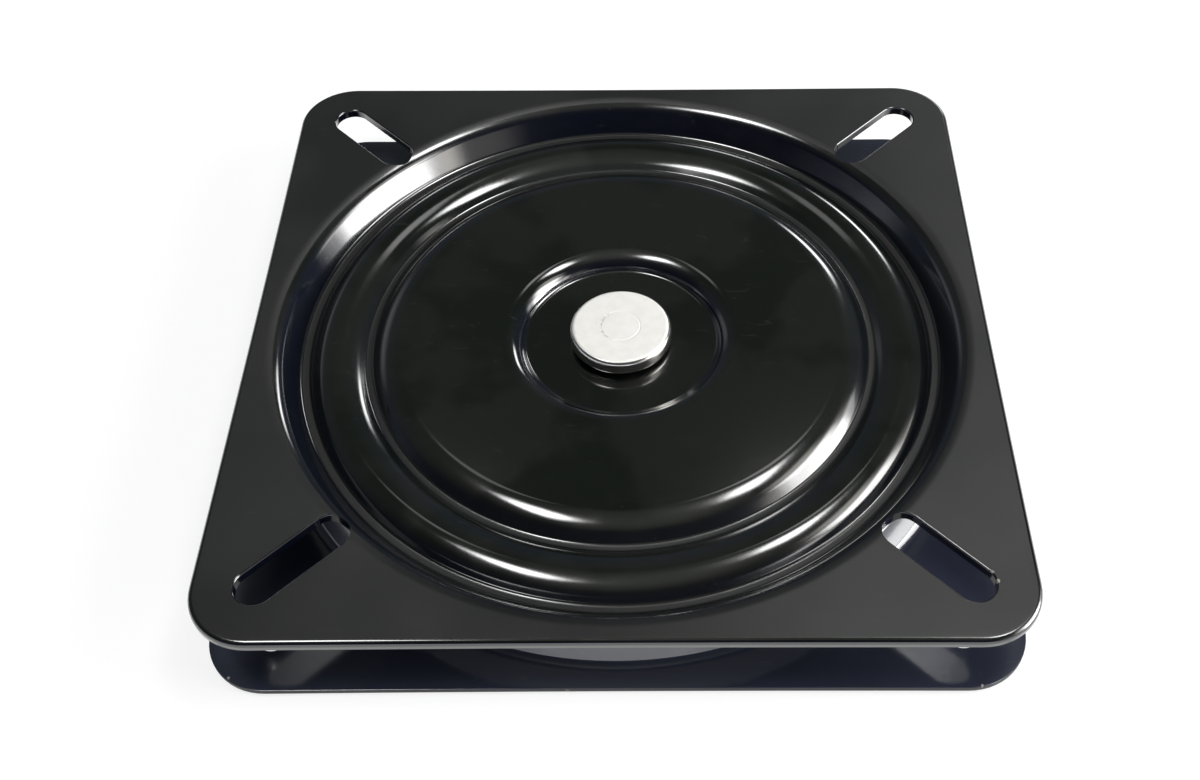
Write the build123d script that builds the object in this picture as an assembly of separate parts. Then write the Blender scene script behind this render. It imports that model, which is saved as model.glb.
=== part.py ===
from build123d import *
from math import cos, radians, tan
import os

# A square swivel plate for a seat: two like pressings, face to face on a ring of balls,
# held together by one rivet. Millimetres and degrees. The origin is at the centre of the
# lower plate's underside, +Z is up, and the plate's sides lie along X and Y.

# Plate blank
PLATE_SIDE = 200.0
PLATE_CORNER_R = 16.0
SIDE_DRAW_IN = 0.4       # how far the pressing pulls each side in at its middle
SHEET = 2.5
EDGE_ROLL = 0.7          # rolled-over rim that punching leaves round the outer face
SLOT_ROLL = 0.5          # the same round each bolt slot

# Bolt slots, one on each diagonal
SLOT_WIDTH = 10.0
SLOT_LENGTH = 31.5
SLOT_FROM_WALL = 0.1     # from the line where the dish wall meets the flange face

# Ball race
RACE_INSET = 22.6        # from the plate's side in to the ring through the ball centres
BALL_D = 9.5
BALL_COUNT = 24
BALL_CLEARANCE = 0.25    # between ball and race
RUNNING_GAP = 2.0        # between the two plates at their grooves
RIDGE_FLANK_ANGLE = 44.0

# Depths below the outer face of the flange
GROOVE_DEPTH = 8.5
PLATEAU_DEPTH = 3.8
RECESS_DEPTH = 8.2

# Widths and slopes across the pressed section
OUTER_GROOVE = 2.1
INNER_GROOVE = 2.5
DISH_WALL_ANGLE = 56.0
PLATEAU_WALL_ANGLE = 50.0
RECESS_R = 26.4
RECESS_WALL_ANGLE = 65.0

# Inside bend radii of the sheet
DISH_BEND = 3.0
GROOVE_BEND = 1.5
SHOULDER_BEND = 3.0
RECESS_RIM_BEND = 3.5
RECESS_FOOT_BEND = 1.2

# Ball cage
CAGE_THICKNESS = 1.2
CAGE_RIM = 2.5           # metal left outside and inside the pockets
POCKET_CLEARANCE = 0.2

# Centre rivet
SHANK_D = 11.0
SHANK_CLEARANCE = 0.3    # in the holes of both plates
HEAD_D = 27.8
HEAD_THICKNESS = 4.3
HEAD_TOP_ROUND = 1.2
HEAD_UNDER_ROUND = 0.8
TAIL_D = 20.0
TAIL_RIM = 1.4
TAIL_THICKNESS = 3.6
TAIL_CROWN = 0.7         # bulge of the dome between rim and dimple
TAIL_DIMPLE_D = 5.0
TAIL_DIMPLE_DEPTH = 1.0

# Washers
WASHER_D = 22.0
WASHER_THICKNESS = 1.25
WASHER_BORE_CLEARANCE = 0.15
WASHER_ROUND = 0.3
END_PLAY = 0.15          # axial freedom of the upper plate at each washer

# Sizes that follow
RACE_R = PLATE_SIDE / 2 - RACE_INSET
HALF_HEIGHT = GROOVE_DEPTH + SHEET + RUNNING_GAP / 2
OVERALL_HEIGHT = 2 * HALF_HEIGHT
RIDGE_R = BALL_D / 2 + BALL_CLEARANCE + SHEET
RIDGE_APEX_DEPTH = HALF_HEIGHT - RIDGE_R / cos(radians(RIDGE_FLANK_ANGLE))
HOLE_R = SHANK_D / 2 + SHANK_CLEARANCE


def run(drop, angle):
    """Width that a slope of this angle takes for this drop."""
    return drop / tan(radians(angle))


RIDGE_HALF_WIDTH = run(GROOVE_DEPTH - RIDGE_APEX_DEPTH, RIDGE_FLANK_ANGLE)
DISH_FOOT_R = RACE_R + RIDGE_HALF_WIDTH + OUTER_GROOVE
DISH_R = DISH_FOOT_R + run(GROOVE_DEPTH, DISH_WALL_ANGLE)
PLATEAU_FOOT_R = RACE_R - RIDGE_HALF_WIDTH - INNER_GROOVE
PLATEAU_R = PLATEAU_FOOT_R - run(GROOVE_DEPTH - PLATEAU_DEPTH, PLATEAU_WALL_ANGLE)
RECESS_RIM_R = RECESS_R + run(RECESS_DEPTH - PLATEAU_DEPTH, RECESS_WALL_ANGLE)

# Heights on the rivet's axis, from the lower plate's underside
UPPER_FLOOR_Z = OVERALL_HEIGHT - RECESS_DEPTH
UPPER_WASHER_Z = UPPER_FLOOR_Z + END_PLAY
HEAD_UNDER_Z = UPPER_WASHER_Z + WASHER_THICKNESS
SPACER_Z = RECESS_DEPTH + SHEET
SPACER_THICKNESS = UPPER_FLOOR_Z - SHEET - END_PLAY - SPACER_Z
LOWER_WASHER_Z = RECESS_DEPTH - WASHER_THICKNESS


def plate_section():
    """Half section of the pressed sheet, with the outer face of the flange at height 0."""
    corners = [
        (PLATE_SIDE, 0, None),
        (DISH_R, 0, DISH_BEND + SHEET),
        (DISH_FOOT_R, GROOVE_DEPTH, GROOVE_BEND),
        (RACE_R + RIDGE_HALF_WIDTH, GROOVE_DEPTH, GROOVE_BEND),
        (RACE_R, RIDGE_APEX_DEPTH, RIDGE_R),
        (RACE_R - RIDGE_HALF_WIDTH, GROOVE_DEPTH, GROOVE_BEND),
        (PLATEAU_FOOT_R, GROOVE_DEPTH, GROOVE_BEND),
        (PLATEAU_R, PLATEAU_DEPTH, SHOULDER_BEND + SHEET),
        (RECESS_RIM_R, PLATEAU_DEPTH, RECESS_RIM_BEND + SHEET),
        (RECESS_R, RECESS_DEPTH, RECESS_FOOT_BEND),
        (HOLE_R, RECESS_DEPTH, None),
    ]
    points = [(radius, -depth) for radius, depth, bend in corners]
    bends = [bend for radius, depth, bend in corners if bend]
    outer_face = FilletPolyline(*points, radius=bends)
    return make_face(offset(outer_face, SHEET, side=Side.LEFT).edges())


def plate_outline():
    """Square blank with round corners and sides drawn in at their middles."""
    half = PLATE_SIDE / 2
    ends = [(half, half), (-half, half), (-half, -half), (half, -half)]
    sides = []
    for start, end in zip(ends, ends[1:] + ends[:1]):
        middle = (Vector(*start) + Vector(*end)) / 2
        drawn_in = middle * (1 - SIDE_DRAW_IN / half)
        sides.append(ThreePointArc(start, drawn_in, end))
    square = make_face(sides)
    return fillet(square.vertices(), PLATE_CORNER_R)


def slot_cutters():
    """Bolt slots along the diagonals, as prisms through the flange."""
    middle_r = DISH_R + SLOT_FROM_WALL + SLOT_LENGTH / 2
    slot = SlotOverall(SLOT_LENGTH, SLOT_WIDTH)
    prism = extrude(slot, SHEET * 2, both=True)
    return [Rot(0, 0, turn) * Pos(middle_r, 0, 0) * prism for turn in (45, 135, 225, 315)]


def pressed_plate():
    """One pressing, its outer face up at height 0 and its dish below."""
    formed_disc = revolve(Plane.XZ * plate_section(), Axis.Z)
    blank = extrude(plate_outline(), HALF_HEIGHT, both=True)
    plate = formed_disc & blank
    outer_rim = plate.faces().sort_by(Axis.Z)[-1].outer_wire().edges()
    plate = fillet(outer_rim, EDGE_ROLL)
    for cutter in slot_cutters():
        slotted = plate - cutter
        cut_edges = new_edges(plate, cutter, combined=slotted)
        slot_rim = cut_edges.filter_by(lambda edge: edge.bounding_box().min.Z > -SHEET / 2)
        plate = fillet(slot_rim, SLOT_ROLL)
    return plate


def washer(thickness, base_z):
    """Flat washer round the shank, its outer rims rounded, standing on base_z."""
    ring = Circle(WASHER_D / 2) - Circle(SHANK_D / 2 + WASHER_BORE_CLEARANCE)
    body = extrude(ring, thickness)
    outer_rims = body.edges().filter_by(GeomType.CIRCLE).group_by(SortBy.RADIUS)[-1]
    rim_round = min(WASHER_ROUND, thickness / 3)
    return Pos(0, 0, base_z) * fillet(outer_rims, rim_round)


def centre_rivet():
    """Flat-headed rivet, its lower end spun over into a low dome with a dimple."""
    head_top_z = HEAD_UNDER_Z + HEAD_THICKNESS
    tail_end_z = LOWER_WASHER_Z - TAIL_THICKNESS
    shank_r = SHANK_D / 2
    tail_rim = (TAIL_D / 2, LOWER_WASHER_Z - TAIL_RIM)
    dimple_edge = (TAIL_DIMPLE_D / 2, tail_end_z)
    dimple_end = (0, tail_end_z + TAIL_DIMPLE_DEPTH)
    head = FilletPolyline(
        (0, head_top_z),
        (HEAD_D / 2, head_top_z),
        (HEAD_D / 2, HEAD_UNDER_Z),
        (shank_r, HEAD_UNDER_Z),
        radius=[HEAD_TOP_ROUND, HEAD_UNDER_ROUND],
    )
    shank = Polyline(
        (shank_r, HEAD_UNDER_Z),
        (shank_r, LOWER_WASHER_Z),
        (TAIL_D / 2, LOWER_WASHER_Z),
        tail_rim,
    )
    dome = SagittaArc(tail_rim, dimple_edge, TAIL_CROWN)
    dimple = Line(dimple_edge, dimple_end)
    axis_line = Line(dimple_end, (0, head_top_z))
    lines = [head, shank, dome, dimple, axis_line]
    section = make_face([edge for line in lines for edge in line.edges()])
    return revolve(Plane.XZ * section, Axis.Z)


def ball_cage():
    """Flat ring at mid height with one round pocket for each ball."""
    pocket_r = BALL_D / 2 + POCKET_CLEARANCE
    half_width = pocket_r + CAGE_RIM
    ring = Circle(RACE_R + half_width) - Circle(RACE_R - half_width)
    ring -= PolarLocations(RACE_R, BALL_COUNT) * Circle(pocket_r)
    return Pos(0, 0, HALF_HEIGHT) * extrude(ring, CAGE_THICKNESS / 2, both=True)


def swivel_base():
    """Every piece in place, by name."""
    plate = pressed_plate()
    pieces = {
        "upper_plate": Pos(0, 0, OVERALL_HEIGHT) * plate,
        "lower_plate": Rot(180, 0, 0) * plate,
        "centre_rivet": centre_rivet(),
        "upper_washer": washer(WASHER_THICKNESS, UPPER_WASHER_Z),
        "spacer_washer": washer(SPACER_THICKNESS, SPACER_Z),
        "lower_washer": washer(WASHER_THICKNESS, LOWER_WASHER_Z),
        "ball_cage": ball_cage(),
    }
    ball_ring = Pos(0, 0, HALF_HEIGHT) * PolarLocations(RACE_R, BALL_COUNT)
    for number, place in enumerate(ball_ring, start=1):
        pieces[f"ball_{number:02d}"] = place * Sphere(BALL_D / 2)
    return pieces


os.makedirs("parts", exist_ok=True)
for name, piece in swivel_base().items():
    export_step(piece, f"parts/{name}.step")
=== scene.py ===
"""A square swivel base for a seat: two black pressed plates on a ball race, held by a zinc rivet."""

import logging
import math
from dataclasses import dataclass
from enum import Enum
from typing import Iterable, Optional, Union

import bmesh
import bpy
from bmesh.types import BMesh, BMVert
from mathutils import Matrix, Vector


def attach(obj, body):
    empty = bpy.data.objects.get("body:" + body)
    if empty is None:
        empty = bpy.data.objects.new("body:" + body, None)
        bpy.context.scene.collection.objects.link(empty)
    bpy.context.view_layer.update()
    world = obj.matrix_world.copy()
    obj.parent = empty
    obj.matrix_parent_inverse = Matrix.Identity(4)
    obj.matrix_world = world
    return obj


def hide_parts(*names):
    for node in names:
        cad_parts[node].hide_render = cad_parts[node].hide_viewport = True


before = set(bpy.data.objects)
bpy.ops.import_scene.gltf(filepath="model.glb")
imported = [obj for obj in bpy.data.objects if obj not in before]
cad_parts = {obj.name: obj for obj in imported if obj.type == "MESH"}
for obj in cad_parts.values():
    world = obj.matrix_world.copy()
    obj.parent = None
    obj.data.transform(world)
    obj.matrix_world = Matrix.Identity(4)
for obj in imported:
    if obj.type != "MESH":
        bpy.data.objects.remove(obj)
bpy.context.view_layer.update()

LOG = logging.getLogger("swivel_base")

MM = 0.001
PHOTO_WIDTH = 1200
SPIN_STEPS = 288
MERGE_DISTANCE = 1e-7
LEVEL_TOLERANCE = 1e-6
SHARP_ANGLE = math.radians(38)
NOISE_MIDDLE = 0.5
UP = Vector((0, 0, 1))

# Colours of the lamps that aren't white
CREAM = (1.0, 0.96, 0.90)
WARM = (1.0, 0.95, 0.87)
AMBER = (1.0, 0.95, 0.86)

Socket = bpy.types.NodeSocket
Feed = Union[float, tuple, Socket]


class Body(Enum):
    """The bodies that the pieces made here ride on."""

    LOWER = "lower"
    UPPER = "upper"


class Slot(Enum):
    """Names of the material slots: black paint, zinc plate and glide washer."""

    PAINT = "black_paint"
    ZINC = "zinc_plate"
    GLIDE = "glide_washer"


class Facing(Enum):
    """Which way the outer face of a pressing looks."""

    UP = "up"
    DOWN = "down"


@dataclass(frozen=True)
class Mottle:
    """Soft blotches: waves per metre, octaves, and the noise values where they start and are full."""

    scale: float
    detail: float
    limits: tuple


@dataclass(frozen=True)
class Relief:
    """Fine unevenness: waves per metre, octaves, and depth in millimetres."""

    scale: float
    detail: float
    depth: float


@dataclass(frozen=True)
class Specks:
    """Round specks: places per metre, radius as a share of a place, and share of places in use."""

    cells: float
    size: float
    share: float
    core: float = 0.6


@dataclass(frozen=True)
class Scratches:
    """Fine straight scratches: direction in degrees, waves per metre across, and width in the noise."""

    turn: float
    spread: float
    width: float
    core: float = 0.3
    stretch: float = 0.12
    patch_scale: float = 0.4
    patch_limits: tuple = (0.58, 0.66)


class NodeGraph:
    """A node tree, with short calls for the nodes that finishes, lamps and sky share."""

    def __init__(self, tree: bpy.types.NodeTree) -> None:
        """Take a node tree in hand.

        Args:
            tree: The tree that nodes are added to.
        """
        self.tree = tree

    def add(self, kind: str, **settings: object) -> bpy.types.Node:
        """Add a node.

        Args:
            kind: The node's type name.
            settings: Properties to set on it.

        Returns:
            The new node.
        """
        node = self.tree.nodes.new(kind)
        for key, value in settings.items():
            setattr(node, key, value)
        return node

    def feed(self, socket: Socket, value: Feed) -> None:
        """Link a socket to another node's output, or set its value.

        Args:
            socket: The input socket.
            value: An output socket, a number or a tuple.
        """
        if isinstance(value, Socket):
            self.tree.links.new(value, socket)
        else:
            socket.default_value = value

    def split(self, vector: Feed) -> bpy.types.bpy_prop_collection:
        """Split a vector into its X, Y and Z outputs."""
        node = self.add("ShaderNodeSeparateXYZ")
        self.feed(node.inputs["Vector"], vector)
        return node.outputs

    def ramp(self, value: Feed, low: float, high: float, start: float = 0.0, end: float = 1.0) -> Socket:
        """Map a value smoothly from one range to another.

        Args:
            value: What is mapped.
            low: The value that gives start.
            high: The value that gives end.
            start: Result at and before low.
            end: Result at and past high.

        Returns:
            The mapped value.
        """
        node = self.add("ShaderNodeMapRange", interpolation_type="SMOOTHSTEP")
        self.feed(node.inputs["Value"], value)
        for key, number in (("From Min", low), ("From Max", high), ("To Min", start), ("To Max", end)):
            node.inputs[key].default_value = number
        return node.outputs["Result"]

    def ramp_mm(self, value: Feed, limits: tuple, start: float = 0.0, end: float = 1.0) -> Socket:
        """Map a length smoothly, between limits in millimetres."""
        low, high = limits
        return self.ramp(value, low * MM, high * MM, start, end)

    def math(self, operation: str, first: Feed, second: Feed) -> Socket:
        """Join two values with a Math node."""
        node = self.add("ShaderNodeMath", operation=operation)
        self.feed(node.inputs[0], first)
        self.feed(node.inputs[1], second)
        return node.outputs["Value"]

    def product(self, first: Feed, second: Feed) -> Socket:
        """Multiply two values."""
        return self.math("MULTIPLY", first, second)

    def larger(self, first: Feed, second: Feed) -> Socket:
        """Take the larger of two values."""
        return self.math("MAXIMUM", first, second)

    def absolute(self, value: Feed) -> Socket:
        """Drop a value's sign."""
        return self.math("ABSOLUTE", value, 0.0)

    def blend(self, factor: Feed, first: Feed, second: Feed) -> Socket:
        """Mix two colours.

        Args:
            factor: Share of the second colour.
            first: Colour where the factor is 0.
            second: Colour where the factor is 1.

        Returns:
            The mixed colour.
        """
        node = self.add("ShaderNodeMix", data_type="RGBA")
        self.feed(node.inputs["Factor"], factor)
        self.feed(node.inputs["A"], first)
        self.feed(node.inputs["B"], second)
        return node.outputs["Result"]


class ShaderGraph(NodeGraph):
    """A material's node tree, with the patterns that the finishes are made of."""

    def __init__(self, name: str) -> None:
        """Start a material with a Principled shader and Object coordinates.

        Args:
            name: The material's name.
        """
        self.material = bpy.data.materials.new(name)
        self.material.use_nodes = True
        super().__init__(self.material.node_tree)
        self.tree.nodes.clear()
        self.shader = self.add("ShaderNodeBsdfPrincipled")
        output = self.add("ShaderNodeOutputMaterial")
        self.tree.links.new(self.shader.outputs["BSDF"], output.inputs["Surface"])
        self.place = self.add("ShaderNodeTexCoord").outputs["Object"]
        self.facing = self.add("ShaderNodeNewGeometry").outputs["Normal"]

    def paint(self, **sockets: Feed) -> None:
        """Feed inputs of the Principled shader, named in lower case with underscores."""
        for key, value in sockets.items():
            name = key.replace("_", " ").title().replace("Ior", "IOR")
            self.feed(self.shader.inputs[name], value)

    def mapped(self, scale: tuple, turn: tuple = (0, 0, 0)) -> Socket:
        """Give Object coordinates that are turned and stretched.

        Args:
            scale: Stretch along the three axes.
            turn: Rotation in degrees about the three axes.

        Returns:
            The vector output.
        """
        node = self.add("ShaderNodeMapping")
        self.feed(node.inputs["Vector"], self.place)
        node.inputs["Rotation"].default_value = [math.radians(angle) for angle in turn]
        node.inputs["Scale"].default_value = scale
        return node.outputs["Vector"]

    def from_axis(self) -> Socket:
        """Measure the distance from the Z axis, in metres."""
        node = self.add("ShaderNodeVectorMath", operation="LENGTH")
        self.feed(node.inputs[0], self.mapped((1, 1, 0)))
        return node.outputs["Value"]

    def noise(self, scale: float, detail: float, vector: Optional[Feed] = None) -> Socket:
        """Add a noise texture.

        Args:
            scale: Waves per metre.
            detail: Octaves of finer noise.
            vector: Coordinates, Object coordinates if left out.

        Returns:
            Its value, about 0.3 to 0.7.
        """
        node = self.add("ShaderNodeTexNoise")
        self.feed(node.inputs["Vector"], vector or self.place)
        node.inputs["Scale"].default_value = scale
        node.inputs["Detail"].default_value = detail
        return node.outputs["Fac"]

    def mottle(self, pattern: Mottle) -> Socket:
        """Give a mask of soft blotches."""
        return self.ramp(self.noise(pattern.scale, pattern.detail), *pattern.limits)

    def bump(self, height: Feed, depth: float, under: Optional[Feed] = None) -> Socket:
        """Turn a height into a normal.

        Args:
            height: The height, 0 to 1.
            depth: What a height of 1 stands for, in millimetres.
            under: A normal that this one is laid over.

        Returns:
            The normal.
        """
        node = self.add("ShaderNodeBump")
        node.inputs["Strength"].default_value = 1.0
        node.inputs["Distance"].default_value = depth * MM
        self.feed(node.inputs["Height"], height)
        if under is not None:
            self.feed(node.inputs["Normal"], under)
        return node.outputs["Normal"]

    def relief(self, pattern: Relief, under: Optional[Feed] = None) -> Socket:
        """Give a normal with fine unevenness, over another normal if one is given."""
        return self.bump(self.noise(pattern.scale, pattern.detail), pattern.depth, under)

    def specks(self, pattern: Specks) -> Socket:
        """Scatter small round specks.

        Args:
            pattern: How many, how large and how thick they lie.

        Returns:
            A mask, 1 on the specks.
        """
        node = self.add("ShaderNodeTexVoronoi")
        self.feed(node.inputs["Vector"], self.place)
        node.inputs["Scale"].default_value = pattern.cells
        near = self.ramp(node.outputs["Distance"], pattern.size, pattern.size * pattern.core)
        split = self.add("ShaderNodeSeparateColor")
        self.feed(split.inputs["Color"], node.outputs["Color"])
        chosen = self.math("LESS_THAN", split.outputs["Red"], pattern.share)
        return self.product(near, chosen)

    def scratches(self, pattern: Scratches) -> Socket:
        """Draw a few fine straight scratches.

        Args:
            pattern: Their direction, spread and width.

        Returns:
            A mask, 1 on the scratches.
        """
        spread = pattern.spread
        lengthwise = self.mapped((spread * pattern.stretch, spread, spread), (0, 0, pattern.turn))
        lines = self.noise(1.0, 1.0, lengthwise)
        off_line = self.absolute(self.math("SUBTRACT", lines, NOISE_MIDDLE))
        thin = self.ramp(off_line, pattern.width, pattern.width * pattern.core)
        patches = self.ramp(self.noise(spread * pattern.patch_scale, 1.0), *pattern.patch_limits)
        return self.product(thin, patches)

    def spot(self, centre: tuple, radius: float, ragged: Feed, edge: float) -> Socket:
        """Mark one ragged spot.

        Args:
            centre: Where it lies, in millimetres.
            radius: How far it reaches, in millimetres.
            ragged: Noise that breaks its rim.
            edge: Width of its soft rim as a share of the radius.

        Returns:
            A mask, 1 inside the spot.
        """
        away = self.add("ShaderNodeVectorMath", operation="DISTANCE")
        self.feed(away.inputs[0], self.place)
        away.inputs[1].default_value = Vector(centre) * MM
        reach = self.product(ragged, radius * MM / NOISE_MIDDLE)
        inside = self.math("SUBTRACT", reach, away.outputs["Value"])
        return self.ramp(inside, 0.0, edge * radius * MM)


@dataclass(frozen=True)
class BlackEnamel:
    """Glossy black paint baked on pressed sheet, rubbed satin on the flanges, with a few chipped spots,
    two of them painted glints; the steep walls carry a painted navy reflection and the faces between the
    plates painted bluish light.

    Lengths are in millimetres. Steepness and the flatness limits are the normal's upright share.
    """

    deep: tuple = (0.0009, 0.0019, 0.0014, 1)
    hazed: tuple = (0.0050, 0.0058, 0.0049, 1)
    # Painted reflection: a lighter navy laid on the steep walls.
    painted_wall_reflection: tuple = (0.0020, 0.0030, 0.0070, 1)
    # Painted light: a lighter blue for the faces that look into the gap between the plates.
    inner: tuple = (0.0270, 0.0310, 0.0500, 1)
    rubbed: tuple = (0.0050, 0.0052, 0.0054, 1)
    cloudy: tuple = (0.0120, 0.0120, 0.0118, 1)
    dusty: tuple = (0.16, 0.16, 0.15, 1)
    chip_and_glint_colour: tuple = (0.30, 0.28, 0.25, 1)
    gloss: tuple = (0.11, 0.16)
    satin: tuple = (0.29, 0.41)
    satin_from: tuple = (-94.0, -66.0)
    worn_rough: float = 0.55
    coat_rough: float = 0.04
    reflection: float = 0.90
    inner_dulling: float = 0.7
    scratch_dulling: float = 0.12
    dust_share: float = 0.4
    scratch_share: float = 0.05
    mid_height: float = 12.0
    inner_from: tuple = (0.0, -1.0)
    groove_reach: tuple = (4.35, 4.10)
    groove_from: float = 60.0
    flange_reach: tuple = (10.6, 11.7)
    steepness: tuple = (0.88, 0.66)
    flatness: tuple = (0.90, 0.97)
    bend_flatness: tuple = (0.82, 0.93)
    rim_from: float = 97.5
    rim_flatness: tuple = (0.970, 0.995)
    haze: Mottle = Mottle(34.0, 3.0, (0.42, 0.56))
    clouds: Mottle = Mottle(26.0, 2.0, (0.36, 0.64))
    dust: Specks = Specks(850.0, 0.09, 0.008)
    scratches: tuple = (Scratches(24.0, 420.0, 0.010), Scratches(-63.0, 360.0, 0.008))
    waves: Relief = Relief(38.0, 1.0, 0.06)
    peel: Relief = Relief(520.0, 2.0, 0.006)
    worn_height: float = 0.015
    chip_noise: tuple = (1500.0, 2.0)
    chip_edge: float = 0.1
    chips_and_glints: tuple = (
        ((88.4, -81.2, 24.0), 0.45),
        ((89.4, -83.7, 24.0), 0.60),
        ((-88.6, -83.8, 24.0), 0.45),
        ((-85.6, -87.4, 24.0), 0.55),
        # The next two spots, at the lower plate's front corners, are painted glints rather than chipped
        # paint.
        ((-93.1, -96.4, 2.5), 0.40),
        ((87.1, -99.4, 2.5), 0.40),
        ((-11.8, -99.6, 1.0), 0.80),
    )

    def rubbed_mask(self, graph: ShaderGraph, reach: Feed, level: Feed) -> Socket:
        """Mask the satin places: the flat of the flange and the floors of the grooves.

        Args:
            graph: The paint's node tree.
            reach: Height above or below the middle of the pair, in metres.
            level: The normal's upright share.

        Returns:
            The mask, 1 on satin paint.
        """
        from_axis = graph.from_axis()
        groove = graph.ramp_mm(reach, self.groove_reach)
        outside = graph.math("GREATER_THAN", from_axis, self.groove_from * MM)
        flat = graph.ramp(level, *self.flatness)
        groove = graph.product(groove, graph.product(flat, outside))
        flange = graph.ramp_mm(reach, self.flange_reach)
        within = graph.math("LESS_THAN", from_axis, self.rim_from * MM)
        bend_flat = graph.product(within, graph.ramp(level, *self.bend_flatness))
        rim_flat = graph.ramp(level, *self.rim_flatness)
        flange = graph.product(flange, graph.larger(bend_flat, rim_flat))
        return graph.larger(flange, groove)

    def chip_and_glint_mask(self, graph: ShaderGraph) -> Feed:
        """Mask the chipped spots and the two painted glints.

        Args:
            graph: The paint's node tree.

        Returns:
            The mask, 1 on chipped spots and on the painted glints.
        """
        ragged = graph.noise(*self.chip_noise)
        chip_and_glint: Feed = 0.0
        for centre, radius in self.chips_and_glints:
            chip_and_glint = graph.larger(chip_and_glint, graph.spot(centre, radius, ragged, self.chip_edge))
        return chip_and_glint

    def material(self) -> bpy.types.Material:
        """Make the paint.

        Returns:
            The material.
        """
        graph = ShaderGraph("black_enamel")
        along = graph.split(graph.place)
        above = graph.math("SUBTRACT", along["Z"], self.mid_height * MM)
        upright = graph.split(graph.facing)["Z"]
        level = graph.absolute(upright)
        # Faces that look into the gap between the plates: painted bluish light in the colour, and a
        # duller coat.
        inner = graph.ramp_mm(graph.product(above, upright), self.inner_from)
        # Mask of the steep walls, which take the painted navy reflection.
        wall_reflection_mask = graph.ramp(level, *self.steepness)
        rubbed = self.rubbed_mask(graph, graph.absolute(above), level)
        haze = graph.mottle(self.haze)
        dust = graph.specks(self.dust)
        scratch = graph.larger(*(graph.scratches(pattern) for pattern in self.scratches))
        chip_and_glint = self.chip_and_glint_mask(graph)
        worn_and_glint = graph.larger(dust, chip_and_glint)

        colour = graph.blend(haze, self.deep, self.hazed)
        colour = graph.blend(wall_reflection_mask, colour, self.painted_wall_reflection)
        satin_colour = graph.blend(graph.mottle(self.clouds), self.rubbed, self.cloudy)
        colour = graph.blend(rubbed, colour, satin_colour)
        # Painted light: the faces between the plates are lightened blue.
        colour = graph.blend(inner, colour, self.inner)
        colour = graph.blend(graph.product(dust, self.dust_share), colour, self.dusty)
        colour = graph.blend(graph.product(scratch, self.scratch_share), colour, self.dusty)
        # Pale colour on the chipped spots and on the two painted glints.
        colour = graph.blend(chip_and_glint, colour, self.chip_and_glint_colour)

        rough = graph.ramp(haze, 0.0, 1.0, *self.gloss)
        satin = graph.ramp_mm(along["Y"], self.satin_from, *self.satin)
        rough = graph.larger(rough, graph.product(rubbed, satin))
        rough = graph.larger(rough, graph.product(worn_and_glint, self.worn_rough))
        dulled = graph.larger(worn_and_glint, graph.product(scratch, self.scratch_dulling))
        dulled = graph.larger(dulled, graph.product(inner, self.inner_dulling))
        coat = graph.math("SUBTRACT", 1.0, graph.larger(rubbed, dulled))

        peel = graph.relief(self.peel, graph.relief(self.waves))
        raised = graph.bump(worn_and_glint, self.worn_height, peel)
        graph.paint(
            base_color=colour,
            roughness=rough,
            normal=raised,
            specular_ior_level=self.reflection,
            coat_weight=coat,
            coat_roughness=self.coat_rough,
            coat_normal=raised,
        )
        return graph.material


@dataclass(frozen=True)
class ZincPlate:
    """Bright zinc on the rivet: a pale satin top with turning marks, specks and a stained ring.

    Lengths are in millimetres.
    """

    pale: tuple = (0.97, 0.955, 0.915, 1)
    cloudy: tuple = (0.93, 0.915, 0.88, 1)
    stain: tuple = (0.38, 0.35, 0.30, 1)
    rough: tuple = (0.20, 0.55)
    metallic: tuple = (1.0, 0.25)
    top_from: tuple = (0.80, 0.97)
    clouds: Mottle = Mottle(320.0, 3.0, (0.38, 0.66))
    specks: Specks = Specks(900.0, 0.16, 0.06)
    ring_r: float = 5.4
    ring_reach: tuple = (0.45, 0.15)
    ring_side: tuple = (-1.8, -4.2)
    ring_breaks: Mottle = Mottle(1100.0, 2.0, (0.40, 0.58))
    mark_share: float = 0.5
    grain: Relief = Relief(2600.0, 2.0, 0.004)
    turning_scale: float = 480.0
    turning_wobble: float = 1.5
    turning_depth: float = 0.002

    def stain_mask(self, graph: ShaderGraph, top: Feed) -> Socket:
        """Mask the specks and the broken ring on the left of the head.

        Args:
            graph: The zinc's node tree.
            top: Mask of the head's top.

        Returns:
            The mask, 1 on stains.
        """
        off_ring = graph.math("SUBTRACT", graph.from_axis(), self.ring_r * MM)
        ring = graph.ramp_mm(graph.absolute(off_ring), self.ring_reach)
        left = graph.ramp_mm(graph.split(graph.place)["X"], self.ring_side)
        arc = graph.product(ring, graph.product(left, graph.mottle(self.ring_breaks)))
        return graph.larger(graph.specks(self.specks), graph.product(arc, top))

    def material(self) -> bpy.types.Material:
        """Make the zinc.

        Returns:
            The material.
        """
        graph = ShaderGraph("zinc_plate")
        top = graph.ramp(graph.split(graph.facing)["Z"], *self.top_from)
        marks = graph.product(self.stain_mask(graph, top), self.mark_share)
        colour = graph.blend(graph.mottle(self.clouds), self.pale, self.cloudy)
        rings = graph.add("ShaderNodeTexWave", wave_type="RINGS", rings_direction="Z")
        graph.feed(rings.inputs["Vector"], graph.place)
        rings.inputs["Scale"].default_value = self.turning_scale
        rings.inputs["Distortion"].default_value = self.turning_wobble
        graph.paint(
            base_color=graph.blend(marks, colour, self.stain),
            roughness=graph.ramp(top, 0.0, 1.0, *self.rough),
            metallic=graph.ramp(top, 0.0, 1.0, *self.metallic),
            normal=graph.bump(rings.outputs["Fac"], self.turning_depth, graph.relief(self.grain)),
        )
        return graph.material


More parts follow.
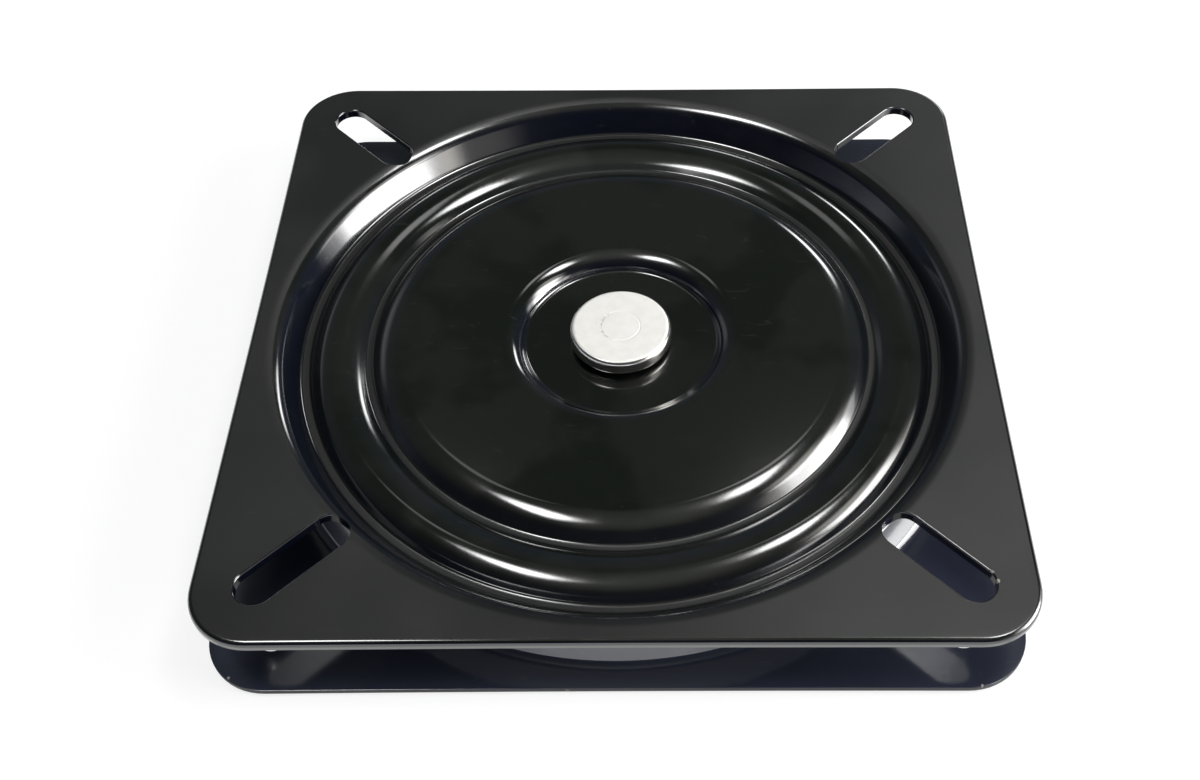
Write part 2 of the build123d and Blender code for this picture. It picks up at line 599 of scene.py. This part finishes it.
@dataclass(frozen=True)
class PlainFinish:
    """A finish with a mottled colour and a fine grain, for the pieces inside."""

    name: str
    light: tuple
    dark: tuple
    rough: float
    metallic: float
    mottle: Mottle = Mottle(260.0, 3.0, (0.36, 0.64))
    grain: Relief = Relief(1800.0, 2.0, 0.003)
    grain_limits: tuple = (0.3, 0.7)
    rough_swing: float = 0.15

    def material(self) -> bpy.types.Material:
        """Make the finish.

        Returns:
            The material.
        """
        graph = ShaderGraph(self.name)
        grain = graph.noise(self.grain.scale, self.grain.detail)
        smoothest = self.rough * (1 - self.rough_swing)
        roughest = self.rough * (1 + self.rough_swing)
        graph.paint(
            base_color=graph.blend(graph.mottle(self.mottle), self.light, self.dark),
            roughness=graph.ramp(grain, *self.grain_limits, smoothest, roughest),
            metallic=self.metallic,
            normal=graph.bump(grain, self.grain.depth),
        )
        return graph.material


GLIDE_PLASTIC = PlainFinish(
    "glide_plastic", light=(0.03, 0.03, 0.032, 1), dark=(0.018, 0.018, 0.02, 1), rough=0.5, metallic=0.0
)
BALL_STEEL = PlainFinish(
    "ball_steel", light=(0.72, 0.72, 0.73, 1), dark=(0.62, 0.62, 0.64, 1), rough=0.08, metallic=1.0
)
CAGE_STEEL = PlainFinish(
    "cage_steel", light=(0.52, 0.51, 0.49, 1), dark=(0.40, 0.39, 0.37, 1), rough=0.38, metallic=1.0
)


def draw_chain(bm: BMesh, corners: Iterable[tuple], segments: int) -> None:
    """Draw a half section in the XZ plane and round its corners.

    Args:
        bm: The mesh, empty so far.
        corners: Radius, height and bend radius of each corner, in millimetres.
        segments: Steps of each round corner.
    """
    corners = list(corners)
    points = [Vector((radius, 0, height)) * MM for radius, height, bend in corners]
    verts = [bm.verts.new(point) for point in points]
    for pair in zip(verts, verts[1:]):
        bm.edges.new(pair)
    for index in range(1, len(corners) - 1):
        bend = corners[index][2]
        if bend:
            ahead = points[index + 1] - points[index]
            behind = points[index] - points[index - 1]
            reach = bend * MM * math.tan(ahead.angle(behind) / 2)
            bmesh.ops.bevel(
                bm, geom=[verts[index]], offset=reach, segments=segments, profile=0.5,
                affect="VERTICES", material=-1,
            )


def spin_chain(bm: BMesh) -> None:
    """Spin a drawn half section once round the Z axis and close it.

    Args:
        bm: The mesh that holds the section alone.
    """
    geom = bm.verts[:] + bm.edges[:]
    bmesh.ops.spin(
        bm, geom=geom, axis=UP, cent=(0, 0, 0), angle=math.tau, steps=SPIN_STEPS, use_merge=True
    )
    bmesh.ops.remove_doubles(bm, verts=bm.verts[:], dist=MERGE_DISTANCE)


def as_mesh(bm: BMesh, name: str) -> bpy.types.Mesh:
    """Merge a bmesh's doubles, turn its faces outwards and write it to a mesh.

    Args:
        bm: The mesh, freed here.
        name: The new mesh's name.

    Returns:
        The mesh.
    """
    bmesh.ops.remove_doubles(bm, verts=bm.verts[:], dist=MERGE_DISTANCE)
    bmesh.ops.recalc_face_normals(bm, faces=bm.faces[:])
    mesh = bpy.data.meshes.new(name)
    bm.to_mesh(mesh)
    bm.free()
    return mesh


def as_piece(mesh: bpy.types.Mesh, name: str, body: Body, node: str) -> bpy.types.Object:
    """Make a mesh a piece of the object, in place of a CAD node.

    Args:
        mesh: Its mesh, in place.
        name: The piece's name.
        body: The body that it rides on.
        node: The CAD node that it stands for.

    Returns:
        The piece.
    """
    mesh.shade_smooth()
    mesh.set_sharp_from_angle(angle=SHARP_ANGLE)
    piece = bpy.data.objects.new(name, mesh)
    bpy.context.scene.collection.objects.link(piece)
    normals = piece.modifiers.new("face_weighted", "WEIGHTED_NORMAL")
    normals.keep_sharp = True
    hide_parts(node)
    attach(piece, body.value)
    LOG.info("%s: %d faces", name, len(mesh.polygons))
    return piece


@dataclass
class PressedPlate:
    """One pressing, in millimetres: slotted flange, dish wall, ball ridge, plateau and recess.

    The section follows the solid's within a millimetre, with softer bends for the highlights.
    """

    side: float = 200.0
    corner_r: float = 16.0
    draw_in: float = 0.4
    sheet: float = 2.5
    edge_roll: float = 1.4
    edge_segments: int = 8
    edge_break: float = 0.2
    break_segments: int = 2
    slot_width: float = 10.0
    slot_length: float = 31.5
    slot_from_wall: float = 0.1
    slot_roll: float = 0.5
    slot_roll_turns: tuple = (18, 36, 54, 72)
    slot_segments: int = 64
    punch_depth: float = 7.5
    punch_flare: float = 2.0
    diagonals: tuple = (45, 135, 225, 315)
    race_inset: float = 22.6
    crown_offset: float = 0.5
    crown_depth: float = 4.5
    crown_flat: float = 0.01
    ridge_outer_bend: float = 7.5
    ridge_inner_bend: float = 11.0
    ridge_outer_flank: float = 50.0
    ridge_inner_flank: float = 38.0
    half_height: float = 12.0
    outer_groove_depth: float = 8.5
    inner_groove_depth: float = 8.0
    plateau_depth: float = 3.8
    recess_depth: float = 8.2
    outer_groove: float = 2.44
    inner_groove: float = 1.62
    dish_wall: float = 58.5
    plateau_wall: float = 42.0
    recess_r: float = 26.4
    recess_wall: float = 65.0
    hole_r: float = 5.8
    dish_bend: float = 5.5
    groove_bend: float = 1.5
    shoulder_bend: float = 9.0
    recess_rim_bend: float = 6.0
    recess_foot_bend: float = 1.2
    flange_margin: float = 2.0
    bend_segments: int = 10
    corner_segments: int = 14
    side_cuts: int = 15

    @staticmethod
    def run(drop: float, angle: float) -> float:
        """Width that a slope of this angle takes for this drop."""
        return drop / math.tan(math.radians(angle))

    @staticmethod
    def reach(bend: float, angle: float) -> float:
        """Length that a bend of this radius takes of each of the two lines that it joins."""
        return bend * math.tan(math.radians(angle / 2))

    @property
    def race_r(self) -> float:
        """Radius of the ring through the ball centres."""
        return self.side / 2 - self.race_inset

    @property
    def crown_outer_r(self) -> float:
        """Radius where the ridge's crown would meet its outer flank."""
        reach = self.reach(self.ridge_outer_bend, self.ridge_outer_flank)
        return self.race_r + self.crown_offset + reach + self.crown_flat

    @property
    def crown_inner_r(self) -> float:
        """Radius where the ridge's crown would meet its inner flank."""
        reach = self.reach(self.ridge_inner_bend, self.ridge_inner_flank)
        return self.race_r + self.crown_offset - reach - self.crown_flat

    @property
    def ridge_outer_r(self) -> float:
        """Radius where the ridge's outer flank meets the outer groove."""
        drop = self.outer_groove_depth - self.crown_depth
        return self.crown_outer_r + self.run(drop, self.ridge_outer_flank)

    @property
    def ridge_inner_r(self) -> float:
        """Radius where the ridge's inner flank meets the inner groove."""
        drop = self.inner_groove_depth - self.crown_depth
        return self.crown_inner_r - self.run(drop, self.ridge_inner_flank)

    @property
    def dish_foot_r(self) -> float:
        """Radius where the dish wall meets the outer groove."""
        return self.ridge_outer_r + self.outer_groove

    @property
    def dish_r(self) -> float:
        """Radius where the dish wall meets the flange."""
        return self.dish_foot_r + self.run(self.outer_groove_depth, self.dish_wall)

    @property
    def ring_r(self) -> float:
        """Radius of the ring on the flange where the round part ends."""
        return self.dish_r + self.reach(self.dish_bend, self.dish_wall) + self.slot_roll

    def section(self) -> list:
        """Corners of the outer face from the flange in to the rivet hole.

        Returns:
            Radius, height and bend radius of each corner.
        """
        plateau_rise = self.inner_groove_depth - self.plateau_depth
        recess_drop = self.recess_depth - self.plateau_depth
        plateau_foot_r = self.ridge_inner_r - self.inner_groove
        plateau_r = plateau_foot_r - self.run(plateau_rise, self.plateau_wall)
        recess_rim_r = self.recess_r + self.run(recess_drop, self.recess_wall)
        return [
            (self.ring_r, 0, 0),
            (self.dish_r, 0, self.dish_bend),
            (self.dish_foot_r, -self.outer_groove_depth, self.groove_bend),
            (self.ridge_outer_r, -self.outer_groove_depth, self.groove_bend),
            (self.crown_outer_r, -self.crown_depth, self.ridge_outer_bend),
            (self.crown_inner_r, -self.crown_depth, self.ridge_inner_bend),
            (self.ridge_inner_r, -self.inner_groove_depth, self.groove_bend),
            (plateau_foot_r, -self.inner_groove_depth, self.groove_bend),
            (plateau_r, -self.plateau_depth, self.shoulder_bend),
            (recess_rim_r, -self.plateau_depth, self.recess_rim_bend),
            (self.recess_r, -self.recess_depth, self.recess_foot_bend),
            (self.hole_r, -self.recess_depth, 0),
        ]

    def flange_loop(self, bm: BMesh) -> list:
        """Add the strip along the plate's edge, with round corners and drawn-in sides.

        Args:
            bm: The mesh to add it to.

        Returns:
            The edges of the strip's inner loop.
        """
        half = self.side / 2 * MM
        corners = bmesh.ops.create_grid(bm, x_segments=1, y_segments=1, size=half)["verts"]
        bmesh.ops.bevel(
            bm, geom=corners, offset=self.corner_r * MM, segments=self.corner_segments, profile=0.5,
            affect="VERTICES", material=-1,
        )
        face = max(bm.faces, key=lambda candidate: len(candidate.verts))
        straight = [edge for edge in face.edges if edge.calc_length() > self.corner_r * MM]
        bmesh.ops.subdivide_edges(bm, edges=straight, cuts=self.side_cuts)
        pull = self.draw_in * MM / half
        for vert in face.verts:
            x, y = vert.co.x, vert.co.y
            vert.co.x -= x * pull * (1 - (y / half) ** 2)
            vert.co.y -= y * pull * (1 - (x / half) ** 2)
        bmesh.ops.inset_individual(
            bm, faces=[face], thickness=self.flange_margin * MM, use_even_offset=True
        )
        loop = list(face.edges)
        bmesh.ops.delete(bm, geom=[face], context="FACES_ONLY")
        return loop

    def sheet_body(self) -> BMesh:
        """Form the plate without its slots, its outer face at height 0.

        Returns:
            The closed mesh.
        """
        bm = bmesh.new()
        draw_chain(bm, self.section(), self.bend_segments)
        spin_chain(bm)
        ring = [
            edge for edge in bm.edges
            if edge.is_boundary and edge.verts[0].co.xy.length > self.dish_r * MM
        ]
        loop = self.flange_loop(bm)
        bmesh.ops.triangle_fill(bm, edges=ring + loop, use_beauty=True, normal=UP)
        bmesh.ops.remove_doubles(bm, verts=bm.verts[:], dist=MERGE_DISTANCE)
        bmesh.ops.recalc_face_normals(bm, faces=bm.faces[:])
        flange = max(bm.faces, key=lambda candidate: candidate.calc_center_median().xy.length)
        if flange.normal.z < 0:
            bmesh.ops.reverse_faces(bm, faces=bm.faces[:])
        bmesh.ops.solidify(bm, geom=bm.faces[:], thickness=self.sheet * MM)
        self.round_edge(bm, 0.0, self.edge_roll, self.edge_segments)
        self.round_edge(bm, -self.sheet, self.edge_break, self.break_segments)
        return bm

    def round_edge(self, bm: BMesh, level: float, offset: float, segments: int) -> None:
        """Round the plate's outer edge on one side of the sheet.

        Args:
            bm: The closed plate.
            level: Height of that side, in millimetres.
            offset: Size of the round, in millimetres.
            segments: Its steps.
        """
        near = (self.side / 2 - self.corner_r) * MM
        rim = []
        for edge in bm.edges:
            on_side = all(abs(vert.co.z - level * MM) < LEVEL_TOLERANCE for vert in edge.verts)
            outside = all(max(abs(vert.co.x), abs(vert.co.y)) > near for vert in edge.verts)
            if on_side and outside and edge.calc_face_angle(0.0) > SHARP_ANGLE:
                rim.append(edge)
        bmesh.ops.bevel(
            bm, geom=rim, offset=offset * MM, segments=segments, profile=0.5, affect="EDGES",
            material=-1, clamp_overlap=False, loop_slide=True,
        )

    def slot_loop(self, bm: BMesh, radius: float, height: float) -> list:
        """Add one long loop with round ends, along X at the slot's distance from the axis.

        Args:
            bm: The mesh to add it to.
            radius: Half the loop's width, in millimetres.
            height: Where it lies, in millimetres.

        Returns:
            Its edges.
        """
        verts = bmesh.ops.create_circle(bm, segments=self.slot_segments, radius=radius * MM)["verts"]
        half_step = Matrix.Rotation(math.pi / self.slot_segments, 4, "Z")
        bmesh.ops.transform(bm, matrix=half_step, verts=verts)
        inner = self.dish_r + self.slot_from_wall + self.slot_width / 2
        outer = inner + self.slot_length - self.slot_width
        for vert in verts:
            vert.co.x += (outer if vert.co.x > 0 else inner) * MM
            vert.co.z = height * MM
        return list({edge for vert in verts for edge in vert.link_edges})

    def slot_punch(self) -> bpy.types.Mesh:
        """Make the four punches that cut the slots, flared where they roll the rim over.

        Returns:
            The punches as one mesh.
        """
        bm = bmesh.new()
        half = self.slot_width / 2
        steps = [(half, -self.punch_depth), (half, -self.slot_roll)]
        for turn in self.slot_roll_turns:
            angle = math.radians(turn)
            steps.append((
                half + self.slot_roll * (1 - math.cos(angle)),
                -self.slot_roll * (1 - math.sin(angle)),
            ))
        steps.append((half + self.punch_flare, self.slot_roll))
        loops = [self.slot_loop(bm, radius, height) for radius, height in steps]
        for below, above in zip(loops, loops[1:]):
            bmesh.ops.bridge_loops(bm, edges=below + above)
        for loop in (loops[0], loops[-1]):
            bmesh.ops.contextual_create(bm, geom=loop)
        first = bm.verts[:] + bm.edges[:] + bm.faces[:]
        for diagonal in self.diagonals:
            last = diagonal == self.diagonals[-1]
            geom = first if last else bmesh.ops.duplicate(bm, geom=first)["geom"]
            verts = [item for item in geom if isinstance(item, BMVert)]
            turn = Matrix.Rotation(math.radians(diagonal), 4, "Z")
            bmesh.ops.transform(bm, matrix=turn, verts=verts)
        return as_mesh(bm, "slot_punch")

    def mesh(self) -> bpy.types.Mesh:
        """Form the plate and punch its slots.

        Returns:
            The plate, its outer face up at height 0.
        """
        scene = bpy.context.scene
        blank = bpy.data.objects.new("blank", as_mesh(self.sheet_body(), "blank"))
        punch = bpy.data.objects.new("punch", self.slot_punch())
        for helper in (blank, punch):
            scene.collection.objects.link(helper)
        cut = blank.modifiers.new("slots", "BOOLEAN")
        cut.operation = "DIFFERENCE"
        cut.solver = "EXACT"
        cut.object = punch
        graph = bpy.context.evaluated_depsgraph_get()
        plate = bpy.data.meshes.new_from_object(blank.evaluated_get(graph))
        for helper in (blank, punch):
            data = helper.data
            bpy.data.objects.remove(helper)
            bpy.data.meshes.remove(data)
        return plate

    def build(self, finish: bpy.types.Material) -> None:
        """Make both plates from the one pressing, face to face.

        Args:
            finish: The paint.
        """
        pressing = self.mesh()
        pressing.materials.clear()
        pressing.materials.append(finish)
        places = (
            (Facing.UP, Body.UPPER, "upper_plate"),
            (Facing.DOWN, Body.LOWER, "lower_plate"),
        )
        for facing, body, node in places:
            mesh = pressing.copy()
            if facing is Facing.UP:
                mesh.transform(Matrix.Translation(UP * 2 * self.half_height * MM))
            else:
                mesh.transform(Matrix.Rotation(math.pi, 4, "X"))
            mesh.name = f"{node}_pressing"
            as_piece(mesh, mesh.name, body, node)
        bpy.data.meshes.remove(pressing)


@dataclass
class CentreRivet:
    """The rivet, in millimetres: a thick flat head, a shank and a tail spun over below."""

    shank_d: float = 11.0
    head_d: float = 27.8
    head_under: float = 17.2
    head_top: float = 21.5
    top_round: float = 1.5
    under_round: float = 0.8
    ring_r: float = 5.4
    ring_width: float = 0.5
    ring_depth: float = 0.08
    ring_bend: float = 0.3
    tail_d: float = 20.0
    tail_top: float = 6.95
    tail_top_round: float = 0.3
    tail_rim: float = 1.4
    tail_rim_round: float = 1.2
    tail_thickness: float = 3.6
    dome_flat: float = 2.5
    dome_bend: float = 5.0
    dimple_d: float = 5.0
    dimple_depth: float = 1.0
    dimple_round: float = 0.4
    segments: int = 8

    def build(self, finish: bpy.types.Material) -> None:
        """Spin the rivet.

        Args:
            finish: The zinc.
        """
        head_r = self.head_d / 2
        shank_r = self.shank_d / 2
        tail_r = self.tail_d / 2
        dimple_r = self.dimple_d / 2
        tail_end = self.tail_top - self.tail_thickness
        bm = bmesh.new()
        draw_chain(bm, [
            (0, self.head_top, 0),
            (self.ring_r - self.ring_width / 2, self.head_top, self.ring_bend),
            (self.ring_r, self.head_top - self.ring_depth, self.ring_bend),
            (self.ring_r + self.ring_width / 2, self.head_top, self.ring_bend),
            (head_r, self.head_top, self.top_round),
            (head_r, self.head_under, self.under_round),
            (shank_r, self.head_under, 0),
            (shank_r, self.tail_top, 0),
            (tail_r, self.tail_top, self.tail_top_round),
            (tail_r, self.tail_top - self.tail_rim, self.tail_rim_round),
            (dimple_r + self.dome_flat, tail_end, self.dome_bend),
            (dimple_r, tail_end, self.dimple_round),
            (0, tail_end + self.dimple_depth, 0),
        ], self.segments)
        spin_chain(bm)
        mesh = as_mesh(bm, "rivet")
        mesh.materials.append(finish)
        as_piece(mesh, "rivet", Body.LOWER, "centre_rivet")


@dataclass
class Washer:
    """One flat washer round the shank, in millimetres."""

    node: str
    base: float
    thickness: float
    outer_d: float = 22.0
    bore_d: float = 11.3
    edge_round: float = 0.3
    bore_round: float = 0.15
    segments: int = 4

    def build(self, finish: bpy.types.Material) -> None:
        """Spin the washer.

        Args:
            finish: Its plastic.
        """
        inner, outer = self.bore_d / 2, self.outer_d / 2
        top = self.base + self.thickness
        middle = (self.base + top) / 2
        bm = bmesh.new()
        draw_chain(bm, [
            (inner, middle, 0),
            (inner, self.base, self.bore_round),
            (outer, self.base, self.edge_round),
            (outer, top, self.edge_round),
            (inner, top, self.bore_round),
            (inner, middle, 0),
        ], self.segments)
        spin_chain(bm)
        name = f"{self.node}_ring"
        mesh = as_mesh(bm, name)
        mesh.materials.append(finish)
        as_piece(mesh, name, Body.LOWER, self.node)


@dataclass
class BallRace:
    """The balls and their cage, which keep their CAD shapes."""

    balls: int = 24

    def dress(self, ball_finish: bpy.types.Material, cage_finish: bpy.types.Material) -> None:
        """Give the balls and the cage their finishes.

        Args:
            ball_finish: Polished steel.
            cage_finish: Plain sheet steel.
        """
        finishes = {"ball_cage": cage_finish}
        for number in range(1, self.balls + 1):
            finishes[f"ball_{number:02d}"] = ball_finish
        for node, finish in finishes.items():
            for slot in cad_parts[node].material_slots:
                slot.material = finish
        LOG.info("ball race: %d balls and a cage", self.balls)


@dataclass
class SoftBox:
    """A rectangular lamp that looks at the object, in metres and degrees.

    Azimuth counts from +X towards +Y. Feather is the share of its face that fades at each edge.
    """

    name: str
    azimuth: float
    elevation: float
    distance: float
    width: float
    height: float
    radiance: float
    feather: float = 0.3
    tint: tuple = (1.0, 1.0, 1.0)

    def soften(self, lamp: bpy.types.Light) -> None:
        """Let the lamp's face fade towards its edges.

        Args:
            lamp: The lamp's data.
        """
        lamp.use_nodes = True
        graph = NodeGraph(lamp.node_tree)
        across = graph.split(graph.add("ShaderNodeNewGeometry").outputs["Parametric"])
        fade: Feed = 1.0
        for axis in ("X", "Y"):
            for outer, inner in ((0.0, self.feather), (1.0, 1.0 - self.feather)):
                fade = graph.product(fade, graph.ramp(across[axis], outer, inner))
        graph.feed(graph.tree.nodes["Emission"].inputs["Strength"], fade)

    def build(self) -> None:
        """Hang the lamp and aim it."""
        lamp = bpy.data.lights.new(self.name, "AREA")
        lamp.shape = "RECTANGLE"
        lamp.size = self.width
        lamp.size_y = self.height
        lamp.energy = self.radiance * math.pi * self.width * self.height
        lamp.color = self.tint
        self.soften(lamp)
        holder = bpy.data.objects.new(self.name, lamp)
        flat = math.cos(math.radians(self.elevation))
        way = Vector((
            flat * math.cos(math.radians(self.azimuth)),
            flat * math.sin(math.radians(self.azimuth)),
            math.sin(math.radians(self.elevation)),
        ))
        holder.location = way * self.distance
        holder.rotation_euler = way.to_track_quat("Z", "Y").to_euler()
        holder.visible_camera = False
        bpy.context.scene.collection.objects.link(holder)


@dataclass
class Studio:
    """Pale floor, white backdrop, dim room and soft lamps, in metres.

    Each band of the skies has the height that it lies at, 0 at the horizon and 1 overhead.
    """

    floor_half: float = 4.0
    floor_drop: float = 0.0003
    floor_glow: float = 0.79
    floor_fade: tuple = (0.35, 1.50)
    # Reach and glow of the painted contact shadow that the floor shows in reflections.
    contact_shadow_reach: tuple = (0.1005, 0.1100)
    contact_shadow_glow: float = 0.15
    floor_albedo: float = 0.30
    front_sky: tuple = (
        (0.00, (0.97, 1.00, 1.05)),
        (0.12, (0.75, 0.78, 0.84)),
        (0.22, (0.12, 0.13, 0.17)),
        (0.34, (0.02, 0.02, 0.03)),
        (0.75, (0.04, 0.04, 0.04)),
        (1.00, (0.22, 0.23, 0.21)),
    )
    back_sky: tuple = (
        (0.00, (0.05, 0.06, 0.08)),
        (0.30, (0.07, 0.08, 0.10)),
        (0.55, (0.08, 0.09, 0.09)),
        (0.72, (0.07, 0.08, 0.07)),
        (0.86, (0.06, 0.07, 0.06)),
        (1.00, (0.17, 0.18, 0.16)),
    )
    sky_turn: tuple = (-0.25, 0.25)
    backdrop: tuple = (1.0, 1.0, 1.0, 1)
    # Name, azimuth, elevation, distance, width, height, radiance, feather, tint
    lamps: tuple = (
        SoftBox("side_pane", -7.0, 14.0, 1.2, 0.90, 0.56, 14.0, 0.24),
        SoftBox("side_pane_above", -6.0, 33.0, 1.25, 0.84, 0.44, 9.0, 0.30),
        SoftBox("side_pane_top", -5.0, 46.0, 1.25, 0.74, 0.26, 2.4, 0.40, CREAM),
        SoftBox("side_screen_back", 16.0, 16.0, 1.2, 0.30, 0.60, 2.2, 0.45),
        SoftBox("side_screen_front", -30.0, 22.0, 1.2, 0.30, 0.50, 4.0, 0.45, CREAM),
        SoftBox("side_wall", -3.0, 24.0, 1.4, 1.30, 1.10, 1.0, 0.30, WARM),
        SoftBox("front_wall", -45.0, 22.0, 1.4, 0.70, 0.60, 0.45, 0.45, AMBER),
        SoftBox("back_pane", 64.0, 20.5, 1.3, 0.38, 0.24, 8.0, 0.35),
        SoftBox("left_wall", 140.0, 14.0, 1.4, 1.00, 0.60, 0.25, 0.40),
        SoftBox("ceiling_right", 16.0, 67.5, 1.3, 0.58, 0.34, 20.0, 0.45),
        SoftBox("ceiling_left", -157.0, 71.0, 1.3, 0.64, 0.36, 20.0, 0.45),
        SoftBox("back_ceiling_left", 117.0, 60.0, 1.3, 0.34, 0.26, 0.80, 0.30),
        SoftBox("back_ceiling_right", 69.0, 60.0, 1.3, 0.34, 0.26, 1.60, 0.30),
        SoftBox("front_fill", -90.0, 5.0, 1.4, 2.00, 0.20, 1.2),
    )

    def build_floor(self) -> None:
        """Lay the floor: white where it is seen, and a matte surface that keeps the shadow."""
        bm = bmesh.new()
        bmesh.ops.create_grid(bm, x_segments=1, y_segments=1, size=self.floor_half)
        bmesh.ops.translate(bm, vec=-UP * self.floor_drop, verts=bm.verts[:])
        mesh = bpy.data.meshes.new("floor")
        bm.to_mesh(mesh)
        bm.free()
        floor = bpy.data.objects.new("floor", mesh)
        bpy.context.scene.collection.objects.link(floor)
        mesh.materials.append(self.floor_material())

    def floor_material(self) -> bpy.types.Material:
        """Make the floor's finish.

        Returns:
            A matte grey that glows white to the camera, and in reflections glows less beside the plates,
            a painted contact shadow.
        """
        graph = ShaderGraph("pale_floor")
        path = graph.add("ShaderNodeLightPath").outputs
        far_glow = graph.ramp(graph.from_axis(), *self.floor_fade, self.floor_glow, 1.0)
        seen = graph.product(path["Is Camera Ray"], far_glow)
        mirrored = graph.larger(path["Is Glossy Ray"], path["Is Transmission Ray"])
        across = graph.split(graph.place)
        beside = graph.larger(graph.absolute(across["X"]), graph.absolute(across["Y"]))
        # Painted shadow: in reflections the floor glows less close beside the plates.
        painted_contact_shadow = graph.ramp(beside, *self.contact_shadow_reach, self.contact_shadow_glow, self.floor_glow)
        mirrored = graph.product(mirrored, painted_contact_shadow)
        albedo = self.floor_albedo
        graph.paint(
            base_color=(albedo, albedo, albedo, 1),
            roughness=1.0,
            specular_ior_level=0.0,
            emission_color=(1, 1, 1, 1),
            emission_strength=graph.math("ADD", seen, mirrored),
        )
        return graph.material

    @staticmethod
    def bands(graph: NodeGraph, height: Feed, sky: tuple) -> Socket:
        """Colour one half of the sky by height.

        Args:
            graph: The sky's node tree.
            height: Height of the direction looked in, 0 at the horizon and 1 overhead.
            sky: Height and colour of each band.

        Returns:
            The colour.
        """
        node = graph.add("ShaderNodeValToRGB")
        node.color_ramp.interpolation = "EASE"
        graph.feed(node.inputs["Fac"], height)
        stops = node.color_ramp.elements
        while len(stops) < len(sky):
            stops.new(1.0)
        for stop, (position, colour) in zip(stops, sky):
            stop.position = position
            stop.color = (*colour, 1)
        return node.outputs["Color"]

    def build_sky(self) -> None:
        """Surround the scene: white to the camera, else a pale horizon in front and dim walls."""
        world = bpy.data.worlds.new("studio")
        world.use_nodes = True
        graph = NodeGraph(world.node_tree)
        along = graph.split(graph.add("ShaderNodeTexCoord").outputs["Generated"])
        front = self.bands(graph, along["Z"], self.front_sky)
        back = self.bands(graph, along["Z"], self.back_sky)
        colour = graph.blend(graph.ramp(along["Y"], *self.sky_turn), front, back)
        seen = graph.add("ShaderNodeLightPath").outputs["Is Camera Ray"]
        colour = graph.blend(seen, colour, self.backdrop)
        graph.feed(graph.tree.nodes["Background"].inputs["Color"], colour)
        bpy.context.scene.world = world

    def build(self) -> None:
        """Set the whole studio."""
        self.build_floor()
        self.build_sky()
        for lamp in self.lamps:
            lamp.build()
        bpy.context.scene.view_settings.view_transform = "Standard"
        LOG.info("studio: floor, sky and %d lamps", len(self.lamps))


@dataclass
class PhotoCamera:
    """The camera at the photograph's angle, in metres and degrees."""

    place: tuple = (0.01097, -0.26282, 0.30802)
    turn: tuple = (39.937, 0.271, -0.134)
    focal_px: float = 1424.45
    centre_px: float = 658.0
    sensor: float = 36.0
    nearest: float = 0.01

    def build(self) -> None:
        """Set the camera up and use it."""
        lens = bpy.data.cameras.new("photo_camera")
        lens.sensor_width = self.sensor
        lens.lens = self.focal_px * self.sensor / PHOTO_WIDTH
        lens.shift_x = (PHOTO_WIDTH / 2 - self.centre_px) / PHOTO_WIDTH
        lens.clip_start = self.nearest
        holder = bpy.data.objects.new("photo_camera", lens)
        holder.location = self.place
        holder.rotation_euler = [math.radians(angle) for angle in self.turn]
        bpy.context.scene.collection.objects.link(holder)
        bpy.context.scene.camera = holder


def main() -> None:
    """Build the object piece by piece, then the studio and the camera."""
    logging.basicConfig(level=logging.INFO, format="%(name)s %(message)s")
    PressedPlate().build(BlackEnamel().material())
    CentreRivet().build(ZincPlate().material())
    for washer in (
        Washer("upper_washer", base=15.95, thickness=1.25),
        Washer("spacer_washer", base=10.7, thickness=2.45),
        Washer("lower_washer", base=6.95, thickness=1.25),
    ):
        washer.build(GLIDE_PLASTIC.material())
    BallRace().dress(BALL_STEEL.material(), CAGE_STEEL.material())
    Studio().build()
    PhotoCamera().build()


if __name__ == "__main__":
    main()
